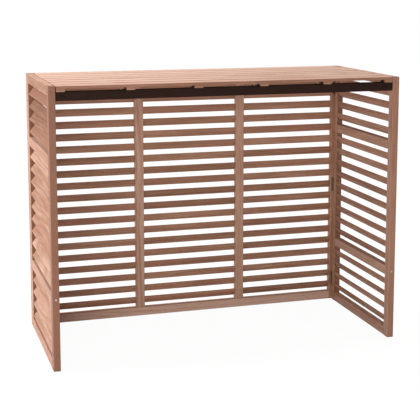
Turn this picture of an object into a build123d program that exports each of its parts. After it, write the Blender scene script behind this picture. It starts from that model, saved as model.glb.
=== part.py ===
from build123d import *
from math import cos, floor, radians, tan
import os

# Slatted hardwood screen for the outdoor unit of an air conditioner.
# Three louvred panels stand on the ground round the unit: a front panel on the garden
# side and two side panels hinged to it. The fourth side is open towards the wall, and
# a steel angle bar holds it to width. The slatted lid lies between the panels, on the
# bar and on a ledger, and lifts off.
# Millimetres. The origin is on the ground at the centre of the outline. X is the
# width, the wall is towards -Y and Z is up.

# Outline
screen_width = 1050
screen_depth = 458
screen_height = 805
overrun = 1  # how far a cut runs past the face it opens

# Panel frames
panel_thickness = 20
upright_width = 28
rail_height = 28
arris = 1.2  # broken edge along the wood
front_bays = 3
corner_gap = 0.3  # between the back edge of a side panel and the front panel

# Stub tenons
tenon_length = 10
tenon_thickness = 8
tenon_shoulder = 4
joint_play = 0.2  # clear all round a tenon or the end of a slat

# Louvre slats, tilted so that the outer edge is low and sheds the rain
slat_pitch = 39.1
slat_tilt = 53.5  # degrees from level
slat_edge = 11.4  # height of the plumb inner edge
slat_nose = 2.6  # height of the outer edge, where the low corner is cut level
slat_setback = 1.5  # behind both faces of the panel
slat_lift = 1.6  # middle of a slat above the middle of its row
housing_depth = 5
slats_past_rail = 4  # between a middle rail of a side panel and its nearer end rail

# Lid
lid_slat_count = 7
lid_slat_gap = 8
lid_slat_thickness = 8
lid_play = 1.5  # clear of the panels
batten_count = 6
batten_width = 24
batten_thickness = 8
batten_inset = 1  # from the end of the lid

# Ledger that carries the back of the lid
ledger_width = 20
ledger_height = 20

# Steel angle bar, its brackets and their bolts
bar_leg = 25
bar_wall = 3
bar_root = 2.5
bar_setback = 3
bar_end_play = 1
bracket_wall = 2.5
bracket_reach = 30
bracket_play = 0.5  # below the upper leg of the bar
bolt_inset = 20  # from the inner face of the side panel
bolt_radius = 3
bolt_head_radius = 5.5
bolt_head_height = 2.6
nut_height = 5
bolt_play = 0.2

# Lugs on the bar that keep the lid from shifting sideways
lug_wall = 1.5
lug_height = 6
lug_foot = 20
lug_width = 12
lug_play = 1.5  # clear of the batten
lug_screw_inset = 7  # from the free end of the foot
lug_screw_radius = 1.5
lug_screw_head_radius = 3
lug_screw_head_height = 2.2

# Hinges, both leaves let into the edge of the side panel
hinge_height = 45
hinge_margin = 51  # from the ground, and from the top, to the nearest hinge
hinges_per_corner = 3
knuckles_per_hinge = 3
knuckle_gap = 0.3
barrel_radius = 3
leaf_thickness = 1.6
leaf_margin = 2  # from the outer face of the side panel
leaf_screw_margin = 9  # from the end of a leaf
hinge_play = 0.2
pin_radius = 1.4
pin_play = 0.08
pin_head_height = 1

# Countersunk wood screws. Small round parts are drawn with flat sides.
round_sides = 8
screw_sides = 6
screw_radius = 1.5
screw_head_radius = 3
screw_play = 0.1
short_screw_length = 14
ledger_screw_length = 32
frame_screw_radius = 2
frame_screw_head_radius = 4
frame_screw_length = 55

# Places that follow from the sizes
inner_width = screen_width - 2 * panel_thickness
corner_x = -inner_width / 2
corner_y = screen_depth / 2 - panel_thickness
wall_y = -screen_depth / 2
side_length = screen_depth - panel_thickness
side_end = side_length - corner_gap
slat_depth = panel_thickness - 2 * slat_setback
slat_height = slat_depth * tan(radians(slat_tilt)) + slat_nose
tenon_height = rail_height - 2 * tenon_shoulder
tenon_width = upright_width - 2 * tenon_shoulder
lid_underside = screen_height - lid_slat_thickness - batten_thickness
lid_length = inner_width - 2 * lid_play
lid_depth = side_length - lid_play
lid_middle_y = wall_y + lid_depth / 2
bar_face_y = wall_y + bar_setback
bottom_rail_z = rail_height / 2
top_rail_z = screen_height - rail_height / 2

row_count = floor((screen_height - 2 * rail_height) / slat_pitch)
first_row_z = screen_height / 2 - (row_count - 1) / 2 * slat_pitch
row_z = [first_row_z + row * slat_pitch for row in range(row_count)]
lower_rail_z = row_z[slats_past_rail]
upper_rail_z = row_z[-1 - slats_past_rail]
side_rail_z = [bottom_rail_z, lower_rail_z, upper_rail_z, top_rail_z]
side_slat_z = [z for z in row_z if z not in side_rail_z]

bay_pitch = (screen_width - upright_width) / front_bays
first_upright_x = (upright_width - screen_width) / 2
upright_x = [first_upright_x + bay * bay_pitch for bay in range(front_bays + 1)]
bay_x = [(left + right) / 2 for left, right in zip(upright_x[:-1], upright_x[1:])]

batten_pitch = (lid_length - 2 * batten_inset - batten_width) / (batten_count - 1)
first_batten_x = -(batten_count - 1) / 2 * batten_pitch
batten_x = [first_batten_x + place * batten_pitch for place in range(batten_count)]
lid_slat_width = (lid_depth - (lid_slat_count - 1) * lid_slat_gap) / lid_slat_count
lid_slat_pitch = lid_slat_width + lid_slat_gap
first_slat_y = wall_y + lid_slat_width / 2
lid_slat_y = [first_slat_y + place * lid_slat_pitch for place in range(lid_slat_count)]

# A panel is laid out on section planes: local x goes out of its inner face, local y
# goes up, and the plane is offset along the panel. The front panel is measured from
# its middle, and the left side panel from its open edge.
front_section = Plane(origin=(0, corner_y, 0), x_dir=(0, 1, 0), z_dir=(1, 0, 0))
side_section = Plane(origin=(corner_x, wall_y, 0), x_dir=(-1, 0, 0), z_dir=(0, 1, 0))

os.makedirs("parts", exist_ok=True)


def keep(piece, name):
    piece.part.label = name
    export_step(piece.part, f"parts/{name}.step")


def keep_pair(piece, name):
    # The left piece, and its mirror image for the right.
    keep(piece, f"left_{name}")
    with BuildPart() as twin:
        mirror(piece.part, about=Plane.YZ)
    keep(twin, f"right_{name}")


def keep_together(piece, name):
    # The left solids and their mirror images in one node, as for identical fasteners.
    with BuildPart() as both:
        add(piece.part)
        mirror(piece.part, about=Plane.YZ)
    keep(both, name)


# Wooden members of the panels


def member(section, start, end, low, high, grain):
    # A bar of the panel's thickness, the edges along its grain broken.
    with BuildPart() as piece:
        with BuildSketch(section.offset(start)):
            with Locations((panel_thickness / 2, (low + high) / 2)):
                Rectangle(panel_thickness, high - low)
        extrude(amount=end - start)
        chamfer(piece.edges().filter_by(grain), arris)
    return piece.part


def slat_outline(play):
    # Section of a slat about its middle: a leaning plank with plumb edges and a level
    # foot, grown all round by the play.
    slope = tan(radians(slat_tilt))
    spread = play / cos(radians(slat_tilt))
    reach = slat_depth / 2 + play
    crest = slat_height / 2 + spread + play * slope
    heel = crest - slat_edge - 2 * spread
    foot = -slat_height / 2 - play
    corners = [
        (-reach, crest),
        (reach, crest - 2 * reach * slope),
        (reach, foot),
        ((heel - foot) / slope - reach, foot),
        (-reach, heel),
    ]
    return Polygon(*corners, align=None)


def cut_housings(section, station, inward, heights):
    # Slanted housings for the ends of the slats, in the face at a station.
    with BuildSketch(section.offset(station)) as mouths:
        with Locations(*[(panel_thickness / 2, z + slat_lift) for z in heights]):
            slat_outline(joint_play)
    extrude(mouths.sketch, amount=inward * housing_depth, mode=Mode.SUBTRACT)


def cut_mortises(section, station, inward, heights):
    with BuildSketch(section.offset(station)) as mouths:
        with Locations(*[(panel_thickness / 2, z) for z in heights]):
            Rectangle(tenon_thickness + 2 * joint_play, tenon_height + 2 * joint_play)
    extrude(mouths.sketch, amount=inward * (tenon_length + joint_play), mode=Mode.SUBTRACT)


def rail(section, start, end, height):
    # A rail between two uprights, with a stub tenon at each end.
    with BuildPart() as piece:
        grain = Axis((0, 0, 0), section.z_dir)
        add(member(section, start, end, height - rail_height / 2, height + rail_height / 2, grain))
        with BuildSketch(section.offset(start - tenon_length)):
            with Locations((panel_thickness / 2, height)):
                Rectangle(tenon_thickness, tenon_height)
        extrude(amount=end - start + 2 * tenon_length)
    return piece


def slats(section, start, end, heights):
    # The slats between two uprights, their ends seated in the housings.
    seated = housing_depth - joint_play
    with BuildPart() as blades:
        with BuildSketch(section.offset(start - seated)):
            with Locations(*[(panel_thickness / 2, z + slat_lift) for z in heights]):
                slat_outline(0)
        extrude(amount=end - start + 2 * seated)
    return blades


# Fasteners, and the planes that they sit on, which face out of a surface

wall_side = (0, -1, 0)
garden_side = (0, 1, 0)
upward = (0, 0, 1)
inward_of_left = (1, 0, 0)


def facing(point, direction):
    return Plane(origin=point, z_dir=direction)


def screw(radius, head_radius, length):
    # A countersunk screw that points down, its head flush with the origin.
    head_height = head_radius - radius
    with BuildPart() as fastener:
        with BuildSketch():
            RegularPolygon(head_radius, screw_sides)
        with BuildSketch(Plane.XY.offset(-head_height)) as neck:
            RegularPolygon(radius, screw_sides)
        loft()
        extrude(neck.sketch, amount=head_height - length)
    return fastener.part


def bolt(radius, head_radius, head_height, head_sides, length):
    # A shank that points down from the origin, with a head standing on it.
    with BuildPart() as fastener:
        with BuildSketch():
            RegularPolygon(radius, round_sides)
        extrude(amount=-length)
        with BuildSketch():
            RegularPolygon(head_radius, head_sides)
        extrude(amount=head_height)
    return fastener.part


def placed(fastener, seats):
    with BuildPart() as fasteners:
        with Locations(*seats):
            add(fastener)
    return fasteners


def cut_away(seats, tool):
    # Holes in the piece being built, cut with a fastener that is grown by its play.
    with Locations(*seats):
        add(tool, mode=Mode.SUBTRACT)


short_screw = screw(screw_radius, screw_head_radius, short_screw_length)
short_screw_hole = screw(
    screw_radius + screw_play, screw_head_radius + screw_play, short_screw_length + screw_play
)

# Hinges at the left corner

hinge_pitch = (screen_height - 2 * hinge_margin - hinge_height) / (hinges_per_corner - 1)
hinge_z = [hinge_margin + place * hinge_pitch for place in range(hinges_per_corner)]
barrel_place = (corner_x + barrel_radius + hinge_play, corner_y - barrel_radius)
knuckle_height = (hinge_height - (knuckles_per_hinge - 1) * knuckle_gap) / knuckles_per_hinge
knuckle_pitch = knuckle_height + knuckle_gap
side_leaf_y = corner_y - 2 * barrel_radius
leaf_screw_x = corner_x - panel_thickness / 2
leaf_screw_places = (leaf_screw_margin, hinge_height - leaf_screw_margin)
leaf_screw_z = [z + place for z in hinge_z for place in leaf_screw_places]
front_leaf_seats = [facing((leaf_screw_x, corner_y - leaf_thickness, z), wall_side) for z in leaf_screw_z]
side_leaf_seats = [facing((leaf_screw_x, side_leaf_y + leaf_thickness, z), garden_side) for z in leaf_screw_z]


def hinge_leaves(face_y, outward, knuckles, seats):
    # Plates that lie flat on their face and curl round the pin in the chosen knuckles.
    plate_start = corner_x - panel_thickness + leaf_margin
    plate_y = face_y + outward * leaf_thickness / 2
    with BuildPart() as leaves:
        for base in hinge_z:
            with BuildSketch(Plane.XY.offset(base)):
                with Locations(((plate_start + corner_x) / 2, plate_y)):
                    Rectangle(corner_x - plate_start, leaf_thickness)
            extrude(amount=hinge_height)
            for knuckle in knuckles:
                with BuildSketch(Plane.XY.offset(base + knuckle * knuckle_pitch)):
                    with Locations(((plate_start + barrel_place[0]) / 2, plate_y)):
                        Rectangle(barrel_place[0] - plate_start, leaf_thickness)
                    with Locations(barrel_place):
                        RegularPolygon(barrel_radius, round_sides)
                        RegularPolygon(pin_radius + pin_play, round_sides, mode=Mode.SUBTRACT)
                extrude(amount=knuckle_height)
        cut_away(seats, short_screw_hole)
    return leaves


front_leaves = hinge_leaves(corner_y, -1, range(0, knuckles_per_hinge, 2), front_leaf_seats)
side_leaves = hinge_leaves(side_leaf_y, 1, range(1, knuckles_per_hinge, 2), side_leaf_seats)

with BuildPart() as hinge_pins:
    for base in hinge_z:
        with BuildSketch(Plane.XY.offset(base)):
            with Locations(barrel_place):
                RegularPolygon(pin_radius, round_sides)
        extrude(amount=hinge_height)
        with BuildSketch(Plane.XY.offset(base + hinge_height)):
            with Locations(barrel_place):
                RegularPolygon(barrel_radius, round_sides)
        extrude(amount=pin_head_height)

keep_pair(front_leaves, "hinge_front_leaves")
keep_pair(side_leaves, "hinge_side_leaves")
keep_together(hinge_pins, "hinge_pins")
keep_together(placed(short_screw, front_leaf_seats + side_leaf_seats), "hinge_screws")

# Front panel

left_end = upright_x[0] + upright_width / 2
right_end = upright_x[-1] - upright_width / 2
clear_low = rail_height
clear_high = screen_height - rail_height
ledger_z = lid_underside - ledger_height / 2
ledger_screw_z = (clear_high + lid_underside) / 2
ledger_length = inner_width - 2 * lid_play
ledger_seats = [facing((x, corner_y - ledger_width, ledger_screw_z), wall_side) for x in bay_x]
ledger_screw = screw(screw_radius, screw_head_radius, ledger_screw_length)
ledger_screw_hole = screw(
    screw_radius + screw_play, screw_head_radius + screw_play, ledger_screw_length + screw_play
)

with BuildPart() as left_stile:
    add(member(front_section, -screen_width / 2, left_end, 0, screen_height, Axis.Z))
    cut_housings(front_section, left_end, -1, row_z)
    cut_mortises(front_section, left_end, -1, [bottom_rail_z, top_rail_z])
    cut_away(front_leaf_seats, short_screw_hole)
keep(left_stile, "front_left_stile")

with BuildPart() as right_stile:
    mirror(left_stile.part, about=Plane.YZ)
keep(right_stile, "front_right_stile")

for name, x in zip(("front_left_mullion", "front_right_mullion"), upright_x[1:-1]):
    with BuildPart() as mullion:
        left_face = x - upright_width / 2
        right_face = x + upright_width / 2
        add(member(front_section, left_face, right_face, clear_low, clear_high, Axis.Z))
        with BuildSketch(Plane.XY.offset(clear_low - tenon_length)):
            with Locations((x, corner_y + panel_thickness / 2)):
                Rectangle(tenon_width, tenon_thickness)
        extrude(amount=clear_high - clear_low + 2 * tenon_length)
        cut_housings(front_section, left_face, 1, row_z)
        cut_housings(front_section, right_face, -1, row_z)
    keep(mullion, name)

for name, height, face_z, inward in (
    ("front_bottom_rail", bottom_rail_z, clear_low, -1),
    ("front_top_rail", top_rail_z, clear_high, 1),
):
    with BuildPart() as long_rail:
        add(rail(front_section, left_end, right_end, height).part)
        with BuildSketch(Plane.XY.offset(face_z)) as mortises:
            with Locations(*[(x, corner_y + panel_thickness / 2) for x in upright_x[1:-1]]):
                Rectangle(tenon_width + 2 * joint_play, tenon_thickness + 2 * joint_play)
        extrude(mortises.sketch, amount=inward * (tenon_length + joint_play), mode=Mode.SUBTRACT)
        cut_away(ledger_seats, ledger_screw_hole)
    keep(long_rail, name)

bay_width = bay_pitch - upright_width
for name, x in zip(("left", "middle", "right"), bay_x):
    keep(slats(front_section, x - bay_width / 2, x + bay_width / 2, row_z), f"front_{name}_slats")

with BuildPart() as ledger:
    with BuildSketch(Plane.YZ) as ledger_section:
        with Locations((corner_y - ledger_width / 2, ledger_z)):
            Rectangle(ledger_width, ledger_height)
    extrude(amount=ledger_length / 2, both=True)
    chamfer(ledger.edges().filter_by(Axis.X).group_by(Axis.Y)[0], arris)
    cut_away(ledger_seats, ledger_screw_hole)
keep(ledger, "lid_ledger")
keep(placed(ledger_screw, ledger_seats), "ledger_screws")

# Side panels, made for the left and mirrored

frame_screw_x = corner_x - panel_thickness / 2
frame_screw_seats = [facing((frame_screw_x, wall_y, z), wall_side) for z in side_rail_z[1:]]
frame_screw = screw(frame_screw_radius, frame_screw_head_radius, frame_screw_length)
frame_screw_hole = screw(
    frame_screw_radius + screw_play, frame_screw_head_radius + screw_play, frame_screw_length + screw_play
)
bracket_top_z = lid_underside - bar_wall - bracket_play
bracket_bottom_z = lid_underside - bar_leg
bracket_middle_z = (bracket_top_z + bracket_bottom_z) / 2
bracket_y = bar_face_y + bar_wall
bracket_screw_y = (bracket_y + bracket_wall + wall_y + upright_width) / 2
bracket_screw_seat = facing((corner_x + bracket_wall, bracket_screw_y, bracket_middle_z), inward_of_left)

with BuildPart() as open_stile:
    add(member(side_section, 0, upright_width, 0, screen_height, Axis.Z))
    cut_housings(side_section, upright_width, -1, side_slat_z)
    cut_mortises(side_section, upright_width, -1, side_rail_z)
    cut_away(frame_screw_seats, frame_screw_hole)
    cut_away([bracket_screw_seat], short_screw_hole)
keep_pair(open_stile, "open_stile")

with BuildPart() as corner_stile:
    add(member(side_section, side_end - upright_width, side_end, 0, screen_height, Axis.Z))
    cut_housings(side_section, side_end - upright_width, 1, side_slat_z)
    cut_mortises(side_section, side_end - upright_width, 1, side_rail_z)
    for base in hinge_z:
        with BuildSketch(Plane.XZ.offset(-side_leaf_y)) as recess:
            with Locations((corner_x - panel_thickness / 2, base + hinge_height / 2)):
                Rectangle(panel_thickness + 2 * overrun, hinge_height + 2 * hinge_play)
        extrude(recess.sketch, amount=-2 * barrel_radius - overrun, mode=Mode.SUBTRACT)
    cut_away(side_leaf_seats, short_screw_hole)
keep_pair(corner_stile, "corner_stile")

rail_start = upright_width
rail_end = side_end - upright_width
for name, height in zip(("bottom", "lower", "upper", "top"), side_rail_z):
    with BuildPart() as side_rail:
        add(rail(side_section, rail_start, rail_end, height).part)
        cut_away(frame_screw_seats, frame_screw_hole)
    keep_pair(side_rail, f"{name}_rail")

for name, low, high in (
    ("lower", bottom_rail_z, lower_rail_z),
    ("middle", lower_rail_z, upper_rail_z),
    ("upper", upper_rail_z, top_rail_z),
):
    heights = [z for z in side_slat_z if low < z < high]
    keep_pair(slats(side_section, rail_start, rail_end, heights), f"{name}_slats")

keep_together(placed(frame_screw, frame_screw_seats), "frame_screws")

# Bar across the open side

hexagon = 6
bolt_x = -corner_x - bolt_inset
bolt_seats = [facing((x, bar_face_y, bracket_middle_z), wall_side) for x in (-bolt_x, bolt_x)]
lug_x = [x - batten_width / 2 - lug_play for x in batten_x[1:]]
lug_y = bar_face_y + bar_leg / 2
lug_screw_x = [x - lug_foot + lug_screw_inset for x in lug_x]
lug_screw_seats = [facing((x, lug_y, lid_underside + lug_wall), upward) for x in lug_screw_x]
grip = bar_wall + bracket_wall
bar_bolt = bolt(bolt_radius, bolt_head_radius, bolt_head_height, hexagon, grip + nut_height)
bolt_hole = bolt(bolt_radius + bolt_play, bolt_head_radius, bolt_head_height, hexagon, grip)
lug_grip = lug_wall + bar_wall
lug_screw = bolt(lug_screw_radius, lug_screw_head_radius, lug_screw_head_height, round_sides, lug_grip)
lug_screw_hole = bolt(
    lug_screw_radius + screw_play, lug_screw_head_radius, lug_screw_head_height, round_sides, lug_grip
)

with BuildPart() as cross_bar:
    with BuildSketch(Plane.YZ) as angle:
        with BuildLine():
            Polyline(
                (bar_face_y, lid_underside),
                (bar_face_y, lid_underside - bar_leg),
                (bar_face_y + bar_wall, lid_underside - bar_leg),
                (bar_face_y + bar_wall, lid_underside - bar_wall),
                (bar_face_y + bar_leg, lid_underside - bar_wall),
                (bar_face_y + bar_leg, lid_underside),
                close=True,
            )
        make_face()
        root = angle.vertices().sort_by_distance((0, bar_face_y + bar_wall, lid_underside - bar_wall))[0]
        fillet(root, bar_root)
    extrude(amount=inner_width / 2 - bar_end_play, both=True)
    cut_away(bolt_seats, bolt_hole)
    cut_away(lug_screw_seats, lug_screw_hole)
keep(cross_bar, "cross_bar")

with BuildPart() as bracket:
    with BuildSketch(Plane.XY.offset(bracket_bottom_z)):
        with BuildLine():
            Polyline(
                (corner_x, bracket_y),
                (corner_x + bracket_reach, bracket_y),
                (corner_x + bracket_reach, bracket_y + bracket_wall),
                (corner_x + bracket_wall, bracket_y + bracket_wall),
                (corner_x + bracket_wall, wall_y + upright_width),
                (corner_x, wall_y + upright_width),
                close=True,
            )
        make_face()
    extrude(amount=bracket_top_z - bracket_bottom_z)
    cut_away(bolt_seats[:1], bolt_hole)
    cut_away([bracket_screw_seat], short_screw_hole)
keep_pair(bracket, "bar_bracket")
keep_together(placed(short_screw, [bracket_screw_seat]), "bracket_screws")
keep(placed(bar_bolt, bolt_seats), "bar_bolts")

with BuildPart() as bar_nuts:
    for seat in bolt_seats:
        with BuildSketch(seat.offset(-grip)):
            RegularPolygon(bolt_head_radius, hexagon)
            RegularPolygon(bolt_radius + bolt_play, round_sides, mode=Mode.SUBTRACT)
        extrude(amount=-nut_height)
keep(bar_nuts, "bar_nuts")

with BuildPart() as bar_lugs:
    with BuildSketch(Plane.XZ.offset(-lug_y)):
        for x in lug_x:
            with BuildLine():
                Polyline(
                    (x, lid_underside),
                    (x, lid_underside + lug_height),
                    (x - lug_wall, lid_underside + lug_height),
                    (x - lug_wall, lid_underside + lug_wall),
                    (x - lug_foot, lid_underside + lug_wall),
                    (x - lug_foot, lid_underside),
                    close=True,
                )
            make_face()
    extrude(amount=lug_width / 2, both=True)
    cut_away(lug_screw_seats, lug_screw_hole)
keep(bar_lugs, "bar_lugs")
keep(placed(lug_screw, lug_screw_seats), "lug_screws")

# Lid, its slats fixed to the battens by small nails that are not drawn

for number, y in enumerate(lid_slat_y, start=1):
    with BuildPart() as lid_slat:
        with BuildSketch(Plane.YZ):
            with Locations((y, screen_height - lid_slat_thickness / 2)):
                Rectangle(lid_slat_width, lid_slat_thickness)
        extrude(amount=lid_length / 2, both=True)
        chamfer(lid_slat.edges().filter_by(Axis.X), arris)
    keep(lid_slat, f"lid_slat_{number}")

for number, x in enumerate(batten_x, start=1):
    with BuildPart() as batten:
        with BuildSketch(Plane.XZ.offset(-lid_middle_y)):
            with Locations((x, lid_underside + batten_thickness / 2)):
                Rectangle(batten_width, batten_thickness)
        extrude(amount=lid_depth / 2, both=True)
        chamfer(batten.edges().filter_by(Axis.Y).group_by(Axis.Z)[0], arris)
    keep(batten, f"lid_batten_{number}")
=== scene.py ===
import math

import bmesh
import bpy
import numpy as np
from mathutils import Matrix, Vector


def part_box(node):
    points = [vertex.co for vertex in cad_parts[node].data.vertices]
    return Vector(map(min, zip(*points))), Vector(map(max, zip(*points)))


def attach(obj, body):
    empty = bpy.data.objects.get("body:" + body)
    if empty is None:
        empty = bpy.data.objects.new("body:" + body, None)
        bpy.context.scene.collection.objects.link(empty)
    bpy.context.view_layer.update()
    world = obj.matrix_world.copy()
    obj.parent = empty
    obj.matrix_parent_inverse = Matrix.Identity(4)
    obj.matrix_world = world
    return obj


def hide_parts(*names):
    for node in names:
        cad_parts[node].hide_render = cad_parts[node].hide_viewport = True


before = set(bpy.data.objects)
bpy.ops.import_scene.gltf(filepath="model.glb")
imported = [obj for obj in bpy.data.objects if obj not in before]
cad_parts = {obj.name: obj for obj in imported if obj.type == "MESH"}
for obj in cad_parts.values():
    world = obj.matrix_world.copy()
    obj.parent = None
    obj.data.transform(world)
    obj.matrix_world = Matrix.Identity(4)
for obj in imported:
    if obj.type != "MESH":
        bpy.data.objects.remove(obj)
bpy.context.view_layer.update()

# Slatted hardwood screen for the outdoor unit of an air conditioner.
# Metres, in the frame's own axes: X is the width, the wall is towards -Y, Z is up.
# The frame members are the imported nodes. Slats, lid, hinges, bar and screws are made
# here with rounded edges, and stand for their nodes. The lid's nails are made here alone.

layout = {
    "width": 1.050,
    "upright": 0.028,
    "bays": 3,
    "rowPitch": 0.0391,
    "firstRow": 0.0506,  # about the middle height of the lowest slats
    "wallY": -0.229,
    "panelX": 0.515,  # middle of a side panel's thickness
    "innerX": 0.505,  # its inner face
}
rowPitch = layout["rowPitch"]
bayPitch = (layout["width"] - layout["upright"]) / layout["bays"]
sideWords = {-1: "left", 1: "right"}
hair = 0.0001  # radius at a closed end of a turned shape


# Mesh helpers

def boxOf(node):
    low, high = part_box(node)
    return np.array(low), np.array(high)


def ringFaces(rows, stations, corners):
    # corner j and j + 1 of stations i and i + 1 make a face, in each of the rows
    index = np.arange(rows * stations * corners).reshape(rows, stations, corners)
    here, there = index[:, :-1], index[:, 1:]
    faces = np.stack([here, np.roll(here, -1, 2), np.roll(there, -1, 2), there], -1)
    caps = np.concatenate([index[:, 0], index[:, -1]])
    return faces.reshape(-1, 4).tolist() + caps.tolist()


def piece(name, parts, material, body, stands=(), smooth=35):
    # parts are arrays of (rows, stations, corners, 3), each a set of closed tubes; stands are
    # the nodes that it stands for; edges that turn by more than smooth, in degrees, stay sharp
    mesh = bpy.data.meshes.new(name)
    points, faces, start = [], [], 0
    for part in parts:
        rows, stations, corners, _ = part.shape
        faces += [[start + corner for corner in face] for face in ringFaces(rows, stations, corners)]
        points.append(part.reshape(-1, 3))
        start += rows * stations * corners
    mesh.from_pydata(np.concatenate(points).tolist(), [], faces)
    shell = bmesh.new()
    shell.from_mesh(mesh)
    bmesh.ops.recalc_face_normals(shell, faces=shell.faces)
    shell.to_mesh(mesh)
    shell.free()
    mesh.shade_smooth()
    mesh.set_sharp_from_angle(angle=math.radians(smooth))
    mesh.materials.append(material)
    thing = bpy.data.objects.new(name, mesh)
    bpy.context.scene.collection.objects.link(thing)
    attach(thing, body)
    if stands:
        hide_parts(*stands)


def rounded(corners, radius, steps):
    # each corner gives way to an arc that touches both of its sides:
    # centre = corner + bisector * radius / sin(half angle), swept from one side to the other;
    # radius is one value, or one for each corner
    corners = np.asarray(corners, float)
    before = np.roll(corners, 1, 0) - corners
    after = np.roll(corners, -1, 0) - corners
    before /= np.linalg.norm(before, axis=1, keepdims=True)
    after /= np.linalg.norm(after, axis=1, keepdims=True)
    half = np.arccos((before * after).sum(1)) / 2
    bisector = before + after
    bisector /= np.linalg.norm(bisector, axis=1, keepdims=True)
    centre = corners + bisector * (radius / np.sin(half))[:, None]
    start = corners + before * (radius / np.tan(half))[:, None] - centre
    end = corners + after * (radius / np.tan(half))[:, None] - centre
    share = np.linspace(0, 1, steps)[None, :, None]
    span = (math.pi - 2 * half)[:, None, None]
    arc = (np.sin((1 - share) * span) * start[:, None] + np.sin(share * span) * end[:, None]) / np.sin(span)
    return (centre[:, None] + arc).reshape(-1, 2)


def rectangle(width, height):
    x, y = width / 2, height / 2
    return [(-x, -y), (x, -y), (x, y), (-x, y)]


# directions of a section's two coordinates, and of the run of the bar
alongX = ((0, 1, 0), (0, 0, 1), (1, 0, 0))
alongY = ((1, 0, 0), (0, 0, 1), (0, 1, 0))
alongZ = ((1, 0, 0), (0, 1, 0), (0, 0, 1))


def bars(section, centres, start, end, axes, endRound=0.0, steps=1):
    # section carried from start to end at each centre; near both ends it shrinks as a
    # quarter circle does: inset = endRound * (1 - sin a) at a distance endRound * (1 - cos a)
    section = np.asarray(section, float)
    turn = np.linspace(0, math.pi / 2, steps)
    inset = endRound * (1 - np.sin(turn))
    run = endRound * (1 - np.cos(turn))
    inset = np.concatenate([inset, inset[::-1]])
    place = np.concatenate([start + run, (end - run)[::-1]])
    size = section.max(0) - section.min(0)
    shrink = 1 - 2 * inset[:, None] / size[None]
    flat = section[None] * shrink[:, None]
    across, up, forward = (np.array(axis, float) for axis in axes)
    shape = flat[..., :1] * across + flat[..., 1:] * up + place[:, None, None] * forward
    middle = np.atleast_2d(centres)
    shift = middle[:, :1] * across + middle[:, 1:] * up
    return shape[None] + shift[:, None, None]


def strip(path, thickness):
    # outline of a strip of sheet: the path moved by half the thickness to either side
    path = np.asarray(path, float)
    step = np.gradient(path, axis=0)
    step /= np.linalg.norm(step, axis=1, keepdims=True)
    side = np.stack([-step[:, 1], step[:, 0]], -1) * thickness / 2
    return np.concatenate([path + side, (path - side)[::-1]])


aslant = (0.3, 0.5, 0.8)  # a direction that no head faces
headTurn = 2.4  # radians from one head to the next


def turned(profile, seats, sides, dents=None):
    # a profile of (radius, height) turned about its axis at each seat, a point and the way that
    # its head faces; dents(x, y) is how deep the top is pressed in at a place on it
    profile = np.asarray(profile, float)
    angle = (np.arange(sides) + 0.5) * 2 * math.pi / sides
    x = profile[:, :1] * np.cos(angle)
    y = profile[:, :1] * np.sin(angle)
    z = np.repeat(profile[:, 1:], sides, 1)
    if dents is not None:
        z = z - dents(x, y) * (z > 0)
    shapes = []
    for number, (point, outward) in enumerate(seats):
        outward = np.array(outward, float)
        first = np.cross(outward, aslant)
        first /= np.linalg.norm(first)
        second = np.cross(outward, first)
        turn = headTurn * number
        east = first * math.cos(turn) + second * math.sin(turn)
        north = np.cross(outward, east)
        shapes.append(np.array(point) + x[..., None] * east + y[..., None] * north + z[..., None] * outward)
    return np.stack(shapes)


# Shader helpers: an expression on values adds its Math nodes

class Value:
    def __init__(self, graph, socket):
        self.graph = graph
        self.socket = socket

    def maths(self, operation, *values, clamp=False):
        settings = {"operation": operation, "use_clamp": clamp}
        return self.graph.node("Math", settings, dict(enumerate((self,) + values)))

    def __add__(self, other):
        return self.maths("ADD", other)

    def __sub__(self, other):
        return self.maths("SUBTRACT", other)

    def __mul__(self, other):
        return self.maths("MULTIPLY", other)

    def __truediv__(self, other):
        return self.maths("DIVIDE", other)

    def __pow__(self, other):
        return self.maths("POWER", other)

    def __rsub__(self, other):
        return self.graph.node("Math", {"operation": "SUBTRACT"}, {0: other, 1: self})

    __radd__ = __add__
    __rmul__ = __mul__

    def held(self):
        # kept between 0 and 1
        return self.maths("ADD", 0.0, clamp=True)

    def above(self, edge, soft):
        # 0 below the edge, rising to 1 over the soft distance
        return ((self - edge) / soft).held()


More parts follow.
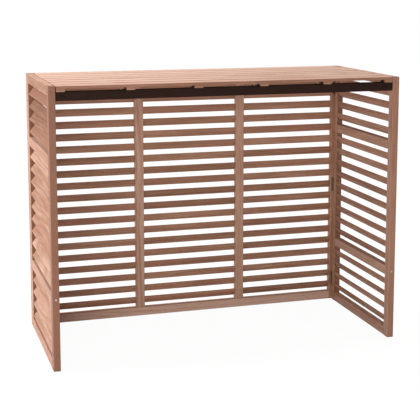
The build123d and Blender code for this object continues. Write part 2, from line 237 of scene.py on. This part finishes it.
class Graph:
    def __init__(self, owner):
        # owner is a material or the world
        owner.use_nodes = True
        self.owner = owner
        self.tree = owner.node_tree
        self.tree.nodes.clear()

    def node(self, kind, settings=None, values=None, out=0):
        made = self.tree.nodes.new("ShaderNode" + kind)
        for key, value in (settings or {}).items():
            if key == "stops":
                ramp = made.color_ramp
                while len(ramp.elements) < len(value):
                    ramp.elements.new(1.0)
                for element, (place, colour) in zip(ramp.elements, value):
                    element.position = place
                    element.color = (*colour, 1.0)
            else:
                setattr(made, key, value)
        for key, value in (values or {}).items():
            if isinstance(value, Value):
                self.tree.links.new(value.socket, made.inputs[key])
            else:
                made.inputs[key].default_value = value
        return Value(self, made.outputs[out]) if made.outputs else made

    def place(self):
        return self.node("TexCoord", out="Object")

    def parts(self, vector):
        return [self.node("SeparateXYZ", values={0: vector}, out=name) for name in "XYZ"]

    def vector(self, x, y, z):
        return self.node("CombineXYZ", values={0: x, 1: y, 2: z})

    def noise(self, vector, scale=1.0, detail=2.0, rough=0.5):
        values = {"Vector": vector, "Scale": scale, "Detail": detail, "Roughness": rough}
        return self.node("TexNoise", values=values)

    def blend(self, share, first, second):
        settings = {"data_type": "RGBA", "clamp_factor": True}
        first, second = [value if isinstance(value, Value) else (*value, 1.0) for value in (first, second)]
        return self.node("Mix", settings, {"Factor": share, 6: first, 7: second}, out=2)

    def softEdges(self, radius):
        # the normal as rounded edges have it, and 1 - the cosine of its lean from the flat one
        soft = self.node("Bevel", {"samples": 4}, {"Radius": radius})
        flat = self.node("NewGeometry", out="Normal")
        same = self.node("VectorMath", {"operation": "DOT_PRODUCT"}, {0: soft, 1: flat}, out="Value")
        return soft, 1.0 - same

    def bump(self, height, strength, distance, soft=None):
        # soft is the normal that the bumps lie on, where it isn't the mesh's own
        values = {"Strength": strength, "Distance": distance, "Height": height}
        if soft is not None:
            values["Normal"] = soft
        return self.node("Bump", values=values)

    def rays(self, *kinds):
        # 1 for a ray of one of these kinds, 0 for any other
        return sum(self.node("LightPath", out=f"Is {kind} Ray") for kind in kinds).held()

    def surface(self, shader):
        kind = "OutputWorld" if isinstance(self.owner, bpy.types.World) else "OutputMaterial"
        self.node(kind, values={"Surface": shader})
        return self.owner

    def finish(self, values):
        return self.surface(self.node("BsdfPrincipled", values=values))


# Wood

woodLook = {
    "dark": (0.205, 0.090, 0.050),
    "middle": (0.392, 0.203, 0.127),
    "pale": (0.640, 0.430, 0.340),
    "stops": (0.12, 0.5, 0.92),  # the shades at which dark, middle and pale stand
    "red": (0.420, 0.190, 0.128),
    "pore": (0.130, 0.060, 0.036),
    "worn": (0.640, 0.430, 0.330),
    "redShare": 0.4,
    "poreShare": 0.55,
    "endShare": 0.18,
    "arris": 0.0012,  # radius of the rubbed edges
    "shift": (7.0, 0.09, 0.07),  # of one board's figure along, across and up, at most
    # noises: how fine each is along the grain and across it, and its detail
    "wander": (2.2, 9.0, 2.0),
    "fine": (9.0, 70.0, 3.0),
    "streak": (14.0, 620.0, 4.0),
    "pores": (150.0, 2300.0, 1.0),
    "mottle": (6.0, 38.0, 3.0),
    # the last noise breaks up the painted shade along the lid's gaps
    "gapShadeNoise": (5.0, 60.0, 3.0),
    # growth rings: their width and sharpness, the pith's place, and how far two noises move them
    "ringWidth": 0.0042,
    "ringPower": 2.5,
    "pith": (0.03, 0.045),
    "wanderBy": 0.022,
    "fineBy": 0.0012,
    # what each adds to the shade, to the height of the bumps and to the roughness
    "shade": {"all": 0.56, "mottle": 0.50, "streak": 0.70, "ring": -0.17, "board": 0.20},
    "height": {"streak": 0.5, "pores": -0.9, "ring": -0.35},
    "roughness": {"all": 0.46, "streak": 0.2, "pores": 0.15},
}
# where a mask starts, and over how much it rises to 1
woodMask = {
    "pores": (0.62, 0.08),
    "red": (0.45, 0.5),
    "end": (0.75, 0.15),
    "edge": (0.015, 0.12),
    "rubbed": (0.35, 0.3),
    "looking": (0.55, 0.3),
    # the last two place the painted shade along the lid's gaps, near each gap and in patches
    "rim": (0.37, 0.09),
    "gapShadeNoise": (0.30, 0.35),
}


def wood(name, grain, cell, origin, tone=0.0, wear=0.35, facing=None, paintedGapShade=0.0):
    # cell is the size of the boxes that each hold one board, so that every board has its own
    # figure, and origin is a corner of one; tone lightens or darkens the whole; facing is an
    # axis, a sign and how much lighter the faces that look that way are, which is painted light
    # or painted shade for how the lamps fall (on the lid's tops also weathering), and the last
    # argument darkens those faces along the gaps that lie across Y, as painted shade
    look, mask = woodLook, woodMask
    graph = Graph(bpy.data.materials.new(name))
    place = graph.place()
    x, y, z = graph.parts(place)
    box = [((value - start) / size).maths("FLOOR") for value, start, size in zip((x, y, z), origin, cell)]
    chance = graph.node("TexWhiteNoise", values={"Vector": graph.vector(*box)}, out="Color")
    draws = graph.parts(chance)
    order = {"X": (x, y, z), "Y": (y, z, x), "Z": (z, x, y)}[grain]
    along, across, up = [value + draw * most for value, draw, most in zip(order, draws, look["shift"])]

    def figure(kind, rough=0.5):
        lengthways, crossways, detail = look[kind]
        stretched = graph.vector(along * lengthways, across * crossways, up * crossways)
        return graph.noise(stretched, detail=detail, rough=rough)

    # growth rings round a pith that lies outside the board and wanders along the grain:
    # ring = (1 / 2 + sin(2 pi radius / width) / 2) ^ power
    radius = ((across + look["pith"][0]) ** 2.0 + (up + look["pith"][1]) ** 2.0) ** 0.5
    radius = radius + (figure("wander") - 0.5) * look["wanderBy"] + (figure("fine") - 0.5) * look["fineBy"]
    ring = (radius * (2 * math.pi / look["ringWidth"])).maths("SINE") * 0.5 + 0.5
    ring = ring ** look["ringPower"]

    streak = figure("streak", rough=0.6)
    pores = figure("pores").above(*mask["pores"])
    adds = look["shade"]
    shade = (figure("mottle") - 0.5) * adds["mottle"] + (streak - 0.5) * adds["streak"]
    shade = shade + ring * adds["ring"] + (draws[0] - 0.5) * adds["board"] + (adds["all"] + tone)

    sides = graph.node("TexCoord", out="Normal")
    # painted light or shade: the faces that look the facing way are lightened or darkened, for how the
    # lamps fall on them
    if facing:
        axis, sign, change = facing
        looking = (graph.parts(sides)["XYZ".index(axis)] * sign).above(*mask["looking"])
        shade = shade + looking * change
    # painted shade: the faces that look the facing way darken next to the gaps that lie across Y, in broken
    # patches
    if paintedGapShade:
        inBox = (y - origin[1]) / cell[1] - box[1]
        rim = (inBox - 0.5).maths("ABSOLUTE").above(*mask["rim"])
        lengthways, crossways, detail = look["gapShadeNoise"]
        stretched = graph.vector(x * lengthways, y * crossways, z * crossways)
        gapShadeNoise = graph.noise(stretched, detail=detail).above(*mask["gapShadeNoise"])
        shade = shade - rim * looking * gapShadeNoise * paintedGapShade
    stops = list(zip(look["stops"], (look["dark"], look["middle"], look["pale"])))
    colour = graph.node("ValToRGB", {"stops": stops}, {0: shade})
    colour = graph.blend(draws[2].above(*mask["red"]) * look["redShare"], colour, look["red"])
    colour = graph.blend(pores * look["poreShare"], colour, look["pore"])

    # ends of boards are darker, and edges are rubbed pale in patches
    soft, edge = graph.softEdges(look["arris"])
    end = graph.parts(sides)["XYZ".index(grain)].maths("ABSOLUTE").above(*mask["end"])
    colour = graph.blend(end * look["endShare"], colour, look["dark"])
    patches = graph.noise(place, scale=90.0, detail=3.0).above(*mask["rubbed"])
    colour = graph.blend(edge.above(*mask["edge"]) * patches * wear, colour, look["worn"])

    adds = look["height"]
    height = streak * adds["streak"] + pores * adds["pores"] + ring * adds["ring"]
    normal = graph.bump(height, strength=0.35, distance=0.0004, soft=soft)
    adds = look["roughness"]
    roughness = adds["all"] + streak * adds["streak"] + pores * adds["pores"]
    values = {"Base Color": colour, "Roughness": roughness, "Normal": normal, "Specular IOR Level": 0.35}
    return graph.finish(values)


# Steel: a mask is where it starts, and over how much it rises to 1

blackLook = {
    "dark": (0.0190, 0.0080, 0.0055),
    "light": (0.0330, 0.0150, 0.0110),
    "rubbed": (0.09, 0.07, 0.06),
    "rubbedShare": 0.3,
    "arris": 0.0006,  # radius of the rubbed edges
    "edgeMask": (0.02, 0.15),
    "cloudMask": (0.45, 0.2),
    "roughness": (0.50, 0.16),  # least, and what the cloud adds
}


def blackSteel(name):
    # satin powder coat with a fine orange peel, rubbed a little at its edges
    look = blackLook
    graph = Graph(bpy.data.materials.new(name))
    place = graph.place()
    peel = graph.noise(place, scale=900.0)
    cloud = graph.noise(place, scale=35.0, detail=3.0)
    soft, edge = graph.softEdges(look["arris"])
    rub = edge.above(*look["edgeMask"]) * cloud.above(*look["cloudMask"])
    colour = graph.blend(cloud, look["dark"], look["light"])
    colour = graph.blend(rub * look["rubbedShare"], colour, look["rubbed"])
    normal = graph.bump(peel, strength=0.25, distance=0.0002, soft=soft)
    least, cloudAdds = look["roughness"]
    roughness = least + cloud * cloudAdds
    values = {"Base Color": colour, "Roughness": roughness, "Normal": normal, "Specular IOR Level": 0.08}
    return graph.finish(values)


zincLook = {
    "dark": (0.52, 0.50, 0.47),
    "light": (0.80, 0.78, 0.74),
    "brown": (0.30, 0.165, 0.115),
    "brownShare": 0.92,
    "brownMask": (0.35, 0.1),  # of the height
    "roughness": (0.28, 0.3, 0.1),  # least, and what the patches and the cloud add
}


def zincSteel(name, tarnish=False):
    # zinc plate: pale, softly crystalline, dulled in patches; tarnish browns the higher screws
    look = zincLook
    graph = Graph(bpy.data.materials.new(name))
    place = graph.place()
    cloud = graph.noise(place, scale=420.0, detail=3.0)
    patches = graph.noise(place, scale=60.0)
    colour = graph.blend(cloud, look["dark"], look["light"])
    if tarnish:
        high = graph.parts(place)[2].above(*look["brownMask"])
        colour = graph.blend(high * look["brownShare"], colour, look["brown"])
    normal = graph.bump(cloud, strength=0.2, distance=0.0001)
    least, patchesAdd, cloudAdds = look["roughness"]
    roughness = least + patches * patchesAdd + cloud * cloudAdds
    return graph.finish({"Base Color": colour, "Metallic": 0.85, "Roughness": roughness, "Normal": normal})


bronzeLook = {
    "dark": (0.110, 0.066, 0.046),
    "light": (0.230, 0.140, 0.095),
    "cloudMask": (0.4, 0.3),
    "roughness": (0.36, 0.22),  # least, and what the cloud adds
}


def hingeSteel(name):
    # dark bronzed steel with browned patches
    look = bronzeLook
    graph = Graph(bpy.data.materials.new(name))
    place = graph.place()
    cloud = graph.noise(place, scale=160.0, detail=3.0)
    fine = graph.noise(place, scale=1500.0)
    colour = graph.blend(cloud.above(*look["cloudMask"]), look["dark"], look["light"])
    normal = graph.bump(fine, strength=0.25, distance=0.0001)
    least, cloudAdds = look["roughness"]
    roughness = least + cloud * cloudAdds
    return graph.finish({"Base Color": colour, "Metallic": 0.7, "Roughness": roughness, "Normal": normal})


# boxes that hold one board each: their size, and a corner of one
whole = 9.0  # longer than any board
farBack = -whole / 2
lidPitch, lidGap = 0.0635, 0.008
rowStart = layout["firstRow"] - rowPitch / 2
uprightCells = ((0.12, 0.11, whole), (-0.54, -0.27, -1.0))
longRailCells = ((whole, 0.2, 0.15), (farBack, -0.1, 0.0))
sideRailCells = ((0.3, whole, 0.13), (-0.6, farBack, -0.04))
longSlatCells = ((bayPitch, whole, rowPitch), (-layout["bays"] * bayPitch / 2, farBack, rowStart))
sideSlatCells = ((0.3, whole, rowPitch), (-0.6, farBack, rowStart))
lidCells = ((whole, lidPitch, whole), (farBack, layout["wallY"] - lidGap / 2, -1.0))
battenCells = ((0.19, whole, whole), (-0.57, farBack, -1.0))

slatWear = 0.12
frameUpright = wood("frameUpright", "Z", *uprightCells)
frameMullionLeft = wood("frameMullionLeft", "Z", *uprightCells, tone=0.06)
frameMullionRight = wood("frameMullionRight", "Z", *uprightCells, tone=0.20)
frameOpenLeft = wood("frameOpenLeft", "Z", *uprightCells, tone=-0.48)
# painted light: the inner face, looking to -X, is made lighter than the rest of the stile
frameOpenRight = wood("frameOpenRight", "Z", *uprightCells, tone=-0.14, facing=("X", -1.0, 0.32))
# painted shade: the faces that look to -Y, the corner stiles' faces seen between the slats, are darkened
frameCorner = wood("frameCorner", "Z", *uprightCells, tone=0.03, facing=("Y", -1.0, -0.62))
frameRailX = wood("frameRailLong", "X", *longRailCells, tone=0.42)
frameRailY = wood("frameRailSide", "Y", *sideRailCells, tone=0.09)
# painted light and shade: the left top rail's top is lighter and its sides darker
frameTopLeft = wood("frameTopLeft", "Y", *sideRailCells, tone=-0.2, facing=("Z", 1.0, 0.3))
slatX = wood("slatLong", "X", *longSlatCells, tone=-0.13, wear=slatWear)
slatLeft = wood("slatLeft", "Y", *sideSlatCells, tone=0.06, wear=slatWear)
# painted shade: a darker copy of the slat wood for the upper slats of the left panel
slatLeftUpper = wood("slatLeftUpper", "Y", *sideSlatCells, tone=-0.3, wear=slatWear)
slatRight = wood("slatRight", "Y", *sideSlatCells, tone=-0.09, wear=slatWear)
# the lid's tops are lighter than its sides, partly from weathering and partly as painted light; the darker
# sides are painted shade, and its gaps get painted shade too
lidX = wood("lidLong", "X", *lidCells, tone=-0.24, wear=0.4, facing=("Z", 1.0, 0.58), paintedGapShade=0.55)
lidY = wood("lidBatten", "Y", *battenCells)
black = blackSteel("blackSteel")
zinc = zincSteel("zincSteel")
tarnishedZinc = zincSteel("zincSteelTarnished", tarnish=True)
bronze = hingeSteel("hingeSteel")

# frame members that have a wood of their own; those of the corner stiles, the right open stile
# and the left top rail hold painted light or shade on some faces
dressOf = {
    "left_open_stile": frameOpenLeft,
    "left_corner_stile": frameCorner,
    "right_corner_stile": frameCorner,
    "right_open_stile": frameOpenRight,
    "left_top_rail": frameTopLeft,
    "front_left_mullion": frameMullionLeft,
    "front_right_mullion": frameMullionRight,
}
for name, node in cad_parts.items():
    if name in dressOf:
        dress = dressOf[name]
    elif name.endswith("stile"):
        dress = frameUpright
    elif name.startswith("front") and name.endswith("rail"):
        dress = frameRailX
    elif name.endswith("rail"):
        dress = frameRailY
    else:
        continue
    node.data.materials.clear()
    node.data.materials.append(dress)
print("woods and steels done")


# Louvre slats

slat = {
    "tilt": 53.5,
    "edge": 0.0114,  # height of the inner edge
    "nose": 0.0026,  # height of the outer edge
    "rounding": (0.0003, 0.0008, 0.0008, 0.0008, 0.0008),
    "arcSteps": 4,
    "bayRows": 19,
    "sideRows": {"lower": 4, "middle": 9, "upper": 4},
}


def slatSection(depth, outward):
    # a leaning plank with plumb edges, its low outer corner cut level
    slope = math.tan(math.radians(slat["tilt"]))
    reach = depth / 2
    top = (depth * slope + slat["nose"]) / 2
    heel = top - slat["edge"]
    foot = (heel + top) / slope - reach
    corners = [(-reach, top), (reach, slat["nose"] - top), (reach, -top), (foot, -top), (-reach, heel)]
    return rounded(np.array(corners) * (outward, 1), np.array(slat["rounding"]), slat["arcSteps"])


def louvres(node, rows, axes, material):
    low, high = boxOf(node)
    run = 0 if axes is alongX else 1
    middle = (low + high) / 2
    heights = middle[2] + (np.arange(rows) - (rows - 1) / 2) * rowPitch
    across = middle[1 - run]
    section = slatSection((high - low)[1 - run], math.copysign(1, across))
    centres = np.stack([np.full(rows, across), heights], -1)
    parts = [bars(section, centres, low[run], high[run], axes)]
    piece(node + "_shaped", parts, material, "panels", [node])


for bay in ("left", "middle", "right"):
    louvres(f"front_{bay}_slats", slat["bayRows"], alongX, slatX)
for word in sideWords.values():
    for group, rows in slat["sideRows"].items():
        # the upper left slats take the darker copy, painted shade
        leftSlat = slatLeftUpper if group == "upper" else slatLeft
        louvres(f"{word}_{group}_slats", rows, alongY, leftSlat if word == "left" else slatRight)
print("louvres done")


# Lid

lid = {"slats": 7, "battens": 6, "rounding": 0.0009, "arcSteps": 4}


def board(name, axes, material, body):
    low, high = boxOf(name)
    run = 0 if axes is alongX else 1
    wide = 1 - run
    size = high - low
    middle = (low + high) / 2
    section = rounded(rectangle(size[wide], size[2]), lid["rounding"], lid["arcSteps"])
    centre = (middle[wide], middle[2])
    parts = [bars(section, centre, low[run], high[run], axes, lid["rounding"], lid["arcSteps"])]
    piece(name + "_shaped", parts, material, body, [name])


lidSlats = [f"lid_slat_{number}" for number in range(1, lid["slats"] + 1)]
lidBattens = [f"lid_batten_{number}" for number in range(1, lid["battens"] + 1)]
for name in lidSlats:
    board(name, alongX, lidX, "lid")
for name in lidBattens:
    board(name, alongY, lidY, "lid")
board("lid_ledger", alongX, frameRailX, "panels")
print("lid done")


# Screws, with a countersunk head and a cross recess

screw = {
    "sides": 48,
    "rings": 14,  # of the dome, from the first one out to its edge
    "lift": 2e-5,  # height of the dome's edge
    # shares of the head's radius
    "firstRing": 0.02,
    "dome": 0.06,
    "rim": 0.98,
    "shankEnd": 2.6,
    "tip": 3.2,
}
cross = {"arm": 0.62, "width": 0.17, "soft": 0.10, "deep": 0.36, "slope": 1.25}  # shares of it too
smallScrew = {"radius": 0.0030, "shank": 0.0015, "sunk": 0.0}
frameScrew = {"radius": 0.0040, "shank": 0.0020, "sunk": 0.0014, "heights": (0.207, 0.598, 0.791)}
ledger = {"faceY": 0.189, "screwZ": 0.783}
headRings = np.linspace(screw["firstRing"], 1, screw["rings"])


def crossRecess(radius):
    # depth = deep * slope * (1 - distance / arm), but deep at most, within the two crossing
    # arms, whose walls slope over the soft distance
    def dents(x, y):
        x, y = np.abs(x) / radius, np.abs(y) / radius
        wall = np.clip((cross["width"] - np.minimum(x, y)) / cross["soft"], 0, 1)
        floor = np.clip(cross["slope"] * (1 - np.maximum(x, y) / cross["arm"]), 0, 1)
        return cross["deep"] * radius * wall * floor

    return dents


def screwHeads(node, seats, size, material):
    # dome: height = dome * radius * (1 - (r / radius)^2); a head that is sunk is as much smaller
    sunk, shank = size["sunk"], size["shank"]
    radius = size["radius"] - sunk
    seats = [(np.array(point) - np.array(outward) * sunk, outward) for point, outward in seats]
    profile = [(r * radius, screw["lift"] + screw["dome"] * radius * (1 - r * r)) for r in headRings]
    profile += [(radius * screw["rim"], (screw["rim"] - 1) * radius), (shank, shank - radius)]
    profile += [(shank, -screw["shankEnd"] * radius), (hair, -screw["tip"] * radius)]
    parts = [turned(profile, seats, screw["sides"], crossRecess(radius))]
    piece(node + "_shaped", parts, material, "panels", [node])


hinge = {
    "bases": (0.051, 0.380, 0.709),  # heights of the undersides
    "height": 0.045,
    "pinX": 0.5018,
    "pinY": 0.206,
    "barrel": 0.003,
    "sheet": 0.0016,
    "far": 0.523,  # X of a leaf's far edge
    "knuckles": 3,
    "knuckle": 0.0148,
    "pitch": 0.0151,  # from one knuckle to the next
    "curl": 285,  # degrees of the sheet round the pin
    "curlSteps": 40,
    "flatSteps": 6,
    "gap": 0.0003,  # between two knuckles
    "screws": (0.009, 0.036),  # heights above the underside
}
leafMiddle = hinge["barrel"] - hinge["sheet"] / 2  # from the pin's axis to the middle of a leaf
leafFace = hinge["barrel"] - hinge["sheet"]  # and to its nearer face

leafSeats = []
for side in sideWords:
    for base in hinge["bases"]:
        for place in hinge["screws"]:
            for way in (1, -1):
                point = (side * layout["panelX"], hinge["pinY"] + way * leafFace, base + place)
                leafSeats.append((point, (0, -way, 0)))
screwHeads("hinge_screws", leafSeats, smallScrew, bronze)
frameSeats = []
for side in sideWords:
    for z in frameScrew["heights"]:
        frameSeats.append(((side * layout["panelX"], layout["wallY"], z), (0, -1, 0)))
screwHeads("frame_screws", frameSeats, frameScrew, tarnishedZinc)
ledgerSeats = [((x, ledger["faceY"], ledger["screwZ"]), (0, -1, 0)) for x in (-bayPitch, 0.0, bayPitch)]
screwHeads("ledger_screws", ledgerSeats, smallScrew, zinc)
print("screws done")


# Hinges: each leaf is a sheet rolled round the pin in its own knuckles

def leaves(side, front):
    # centre line: straight to just before the barrel, then r = barrel - sheet / 2 through the curl
    way = 1 if front else -1
    y = hinge["pinY"] + way * leafMiddle
    turn = np.radians(90 - np.linspace(0, hinge["curl"], hinge["curlSteps"]))
    curlX = hinge["pinX"] - leafMiddle * np.cos(turn)
    curlY = hinge["pinY"] + way * leafMiddle * np.sin(turn)
    far, inner, half, gap = hinge["far"], layout["innerX"], hinge["sheet"] / 2, hinge["gap"]
    flatX = np.linspace(far, hinge["pinX"] + gap, hinge["flatSteps"])
    flatY = np.full(hinge["flatSteps"], y)
    path = np.stack([np.concatenate([flatX, curlX]), np.concatenate([flatY, curlY])], -1)
    rolled = strip(path, hinge["sheet"]) * (side, 1)
    # beside the other leaf's knuckles the sheet ends at the panel's inner face
    plain = np.array([(far, y - half), (inner, y - half), (inner, y + half), (far, y + half)]) * (side, 1)
    parts = []
    for base in hinge["bases"]:
        for number in range(hinge["knuckles"]):
            low = base + number * hinge["pitch"]
            high = low + hinge["knuckle"]
            if number % 2 == (0 if front else 1):
                parts.append(bars(rolled, (0, 0), low, high, alongZ))
            else:
                parts.append(bars(plain, (0, 0), low - gap, high + gap, alongZ))
    return parts


for side, word in sideWords.items():
    for front, leaf in ((True, "front"), (False, "side")):
        node = f"{word}_hinge_{leaf}_leaves"
        piece(node + "_shaped", leaves(side, front), bronze, "panels", [node])

pin = {
    "radius": 0.00135,
    "high": 0.001,
    "crown": ((0.0018, 0.93), (0.0026, 0.66), (0.0029, 0.35), (0.0029, 0.05)),  # radius, share of high
    "end": 0.0009,
    "bevel": 0.0004,
    "sides": 24,
}
high, radius, length = pin["high"], pin["radius"], hinge["height"]
profile = [(hair, high)] + [(wide, high * share) for wide, share in pin["crown"]]
profile += [(radius, 0.0), (radius, pin["bevel"] - length), (pin["end"], -length), (hair, -length)]
seats = []
for side in sideWords:
    for base in hinge["bases"]:
        seats.append(((side * hinge["pinX"], hinge["pinY"], base + hinge["height"]), (0, 0, 1)))
parts = [turned(profile, seats, pin["sides"])]
piece("hinge_pins_shaped", parts, bronze, "panels", ["hinge_pins"])
print("hinges done")


# Bar across the open side, with its brackets, bolts and lugs

bar = {
    "face": -0.226,
    "top": 0.789,
    "leg": 0.025,
    "wall": 0.003,
    "end": 0.504,
    "radii": (0.0009, 0.0006, 0.0025),  # of the heel, the toes and the root
    "arcSteps": 5,
    "bracket": 0.0025,
    "bracketRadii": (0.0009, 0.0006, 0.0020),
    "bracketScrewY": -0.2108,
    "boltX": 0.485,
    "boltZ": 0.77475,
}


def angleSection(legs, wall, radii):
    # an L with its heel at the origin; radii are of the heel, the toes and the root
    corners = [(0, 0), (legs[0], 0), (legs[0], wall), (wall, wall), (wall, legs[1]), (0, legs[1])]
    heel, toe, root = radii
    return rounded(corners, np.array([heel, toe, toe, root, toe, toe]), bar["arcSteps"])


section = angleSection((bar["leg"], bar["leg"]), bar["wall"], bar["radii"]) * (1, -1)
parts = [bars(section, (bar["face"], bar["top"]), -bar["end"], bar["end"], alongX)]
piece("cross_bar_shaped", parts, black, "panels", ["cross_bar"])

for side, word in sideWords.items():
    node = f"{word}_bar_bracket"
    low, high = boxOf(node)
    section = angleSection((high - low)[:2], bar["bracket"], bar["bracketRadii"]) * (-side, 1)
    corner = (side * layout["innerX"], low[1])
    parts = [bars(section, corner, low[2], high[2], alongZ)]
    piece(node + "_shaped", parts, black, "panels", [node])

bolt = {
    "head": 0.0054,
    "high": 0.0026,
    "crown": ((0.80, 1.0), (0.90, 0.93), (1.0, 0.72)),  # shares of head and high
    "lip": 0.0001,
    "grip": 0.0055,  # from under the head to the nut
    "nut": 0.0046,
    "nutEnd": ((1.0, 0.8), (0.9, 0.95), (0.8, 1.0)),  # shares of head and nut
    "shank": 0.0029,
    "shankEnd": 0.0100,
    "end": 0.0026,
    "length": 0.0105,
    "sides": 6,
    "smooth": 28,
}
seats = [((side * bar["boltX"], bar["face"], bar["boltZ"]), (0, -1, 0)) for side in sideWords]
head, high, grip, nut = bolt["head"], bolt["high"], bolt["grip"], bolt["nut"]
boltProfile = [(hair, high)] + [(head * wide, high * share) for wide, share in bolt["crown"]]
boltProfile += [(head, bolt["lip"]), (head, 0.0), (bolt["shank"], 0.0), (bolt["shank"], -bolt["shankEnd"])]
boltProfile += [(bolt["end"], -bolt["length"]), (hair, -bolt["length"])]
nutProfile = [(hair, -grip), (head, -grip)]
nutProfile += [(head * wide, -grip - nut * share) for wide, share in bolt["nutEnd"]]
nutProfile += [(hair, -grip - nut)]
for node, profile in (("bar_bolts", boltProfile), ("bar_nuts", nutProfile)):
    parts = [turned(profile, seats, bolt["sides"])]
    piece(node + "_shaped", parts, black, "panels", [node], bolt["smooth"])

lug = {
    "foot": 0.020,
    "high": 0.006,
    "wall": 0.0015,
    "width": 0.012,
    "radii": (0.0007, 0.0004, 0.0006),  # of the heel, the toes and the root
    "aside": 0.0135,  # from the batten's middle to the lug's heel
    "screwAside": 0.013,  # from the heel to the screw
}
battenX = [sum(boxOf(name))[0] / 2 for name in lidBattens]
lugX = [x - lug["aside"] for x in battenX[1:]]
lugY = bar["face"] + bar["leg"] / 2
section = angleSection((lug["foot"], lug["high"]), lug["wall"], lug["radii"]) * (-1, 1)
centres = [(x, bar["top"]) for x in lugX]
parts = [bars(section, centres, lugY - lug["width"] / 2, lugY + lug["width"] / 2, alongY)]
piece("bar_lugs_shaped", parts, black, "panels", ["bar_lugs"])

panScrew = {"head": 0.003, "high": 0.0021, "shank": 0.0015, "shankEnd": 0.0040, "length": 0.0044}
head, high, shank, lift = panScrew["head"], panScrew["high"], panScrew["shank"], screw["lift"]
seats = [((x - lug["screwAside"], lugY, bar["top"] + lug["wall"]), (0, 0, 1)) for x in lugX]
# pan head: height = high * (1 - (r / radius)^4)^0.5
profile = [(r * head, lift + high * (1 - r ** 4) ** 0.5) for r in headRings]
profile += [(head, lift / 2), (shank, 0.0), (shank, -panScrew["shankEnd"]), (hair, -panScrew["length"])]
parts = [turned(profile, seats, screw["sides"], crossRecess(head))]
piece("lug_screws_shaped", parts, zinc, "panels", ["lug_screws"])
bracketFace = layout["innerX"] - bar["bracket"]
seats = [((side * bracketFace, bar["bracketScrewY"], bar["boltZ"]), (-side, 0, 0)) for side in sideWords]
screwHeads("bracket_screws", seats, smallScrew, zinc)
print("bar done")


# Nails up through the battens into the lid's slats, one at each crossing

nail = {
    "head": 0.0016,
    "high": 0.0002,
    "crown": ((0.75, 0.9), (1.0, 0.3), (1.0, 0.0)),  # shares of head and high
    "shank": 0.0006,
    "neck": 0.0004,
    "shankEnd": 0.0130,
    "length": 0.0140,
    "sides": 16,
    "nearBar": 0.008,  # how far the row over the bar is moved in from its slat's middle
}
slatY = [sum(boxOf(name))[1] / 2 for name in lidSlats]
slatY[0] += nail["nearBar"]
seats = [((x, y, bar["top"]), (0, 0, -1)) for x in battenX for y in slatY]
head, high, shank = nail["head"], nail["high"], nail["shank"]
profile = [(hair, high)] + [(head * wide, high * share) for wide, share in nail["crown"]]
profile += [(shank, -nail["neck"]), (shank, -nail["shankEnd"]), (hair, -nail["length"])]
piece("lid_nails", [turned(profile, seats, nail["sides"])], zinc, "lid")
print("nails done")


# Stage, light and camera

stage = {
    "reach": 9.0,
    "gap": 0.0003,  # below the screen's feet
    "glow": 0.92,  # share of white where the floor is seen near the screen
    "fade": (1.1, 1.2),  # distance at which that share starts to rise, and over how much it does
    "white": 1.04,
    "colour": (0.82, 0.81, 0.80),
}
skyLook = {"strength": 0.20, "colour": (1.0, 0.975, 0.94)}
plainWhite = (1.0, 1.0, 1.0)


def stageFloor():
    reach, gap, glow = stage["reach"], stage["gap"], stage["glow"]
    mesh = bpy.data.meshes.new("floor")
    corners = [(-reach, -reach, -gap), (reach, -reach, -gap), (reach, reach, -gap), (-reach, reach, -gap)]
    mesh.from_pydata(corners, [], [(0, 1, 2, 3)])
    floor = bpy.data.objects.new("floor", mesh)
    bpy.context.scene.collection.objects.link(floor)
    graph = Graph(bpy.data.materials.new("floorPaint"))
    x, y, _ = graph.parts(graph.place())
    far = ((x ** 2.0 + y ** 2.0) ** 0.5).above(*stage["fade"])
    seen = graph.rays("Camera", "Glossy", "Transmission") * (far * (1 - glow) + glow)
    paint = graph.node("BsdfDiffuse", values={"Color": (*stage["colour"], 1.0)})
    white = graph.node("Emission", values={"Color": (*plainWhite, 1.0), "Strength": stage["white"]})
    mesh.materials.append(graph.surface(graph.node("MixShader", values={0: seen, 1: paint, 2: white})))


def sky():
    # white where it is seen, and a weak warm light on the object
    look = skyLook
    world = bpy.data.worlds.new("studio")
    bpy.context.scene.world = world
    graph = Graph(world)
    seen = graph.rays("Camera", "Transmission")
    light = graph.node("Background", values={"Color": (*look["colour"], 1.0), "Strength": look["strength"]})
    white = graph.node("Background", values={"Color": (*plainWhite, 1.0), "Strength": 1.0})
    graph.surface(graph.node("MixShader", values={0: seen, 1: light, 2: white}))


def softbox(name, place, aim, size, power, colour=plainWhite):
    data = bpy.data.lights.new(name, "AREA")
    data.shape = "RECTANGLE"
    data.size, data.size_y = size
    data.energy = power
    data.color = colour
    lamp = bpy.data.objects.new(name, data)
    bpy.context.scene.collection.objects.link(lamp)
    lamp.location = place
    lamp.rotation_euler = (Vector(aim) - Vector(place)).to_track_quat("-Z", "Y").to_euler()


stageFloor()
sky()
warm = (1.0, 0.985, 0.955)
softbox("keyLight", place=(-4.0, 1.3, 3.0), aim=(0.0, 0.0, 0.4), size=(2.2, 2.2), power=245)
softbox("topLight", place=(0.0, 0.8, 4.2), aim=(0.0, 0.0, 0.6), size=(2.4, 2.4), power=116)
softbox("sideLight", place=(4.4, 0.2, 0.8), aim=(0.0, 0.0, 0.4), size=(2.2, 1.4), power=82)
softbox("fillLight", place=(-2.2, -4.0, 1.1), aim=(0.0, 0.2, 0.4), size=(2.2, 1.8), power=90, colour=warm)

view = {"place": (-0.9582, -3.1532, 1.0857), "yaw": 16.96, "pitch": 8.34, "lens": 92.99, "shift": -0.165}
cameraData = bpy.data.cameras.new("camera")
cameraData.sensor_width = 36.0
cameraData.sensor_fit = "HORIZONTAL"
cameraData.lens = view["lens"]
cameraData.shift_y = view["shift"]
camera = bpy.data.objects.new("camera", cameraData)
bpy.context.scene.collection.objects.link(camera)
camera.location = view["place"]
camera.rotation_euler = (math.radians(90 - view["pitch"]), 0.0, math.radians(-view["yaw"]))
bpy.context.scene.camera = camera
bpy.context.scene.view_settings.view_transform = "Standard"
print("stage, light and camera done")
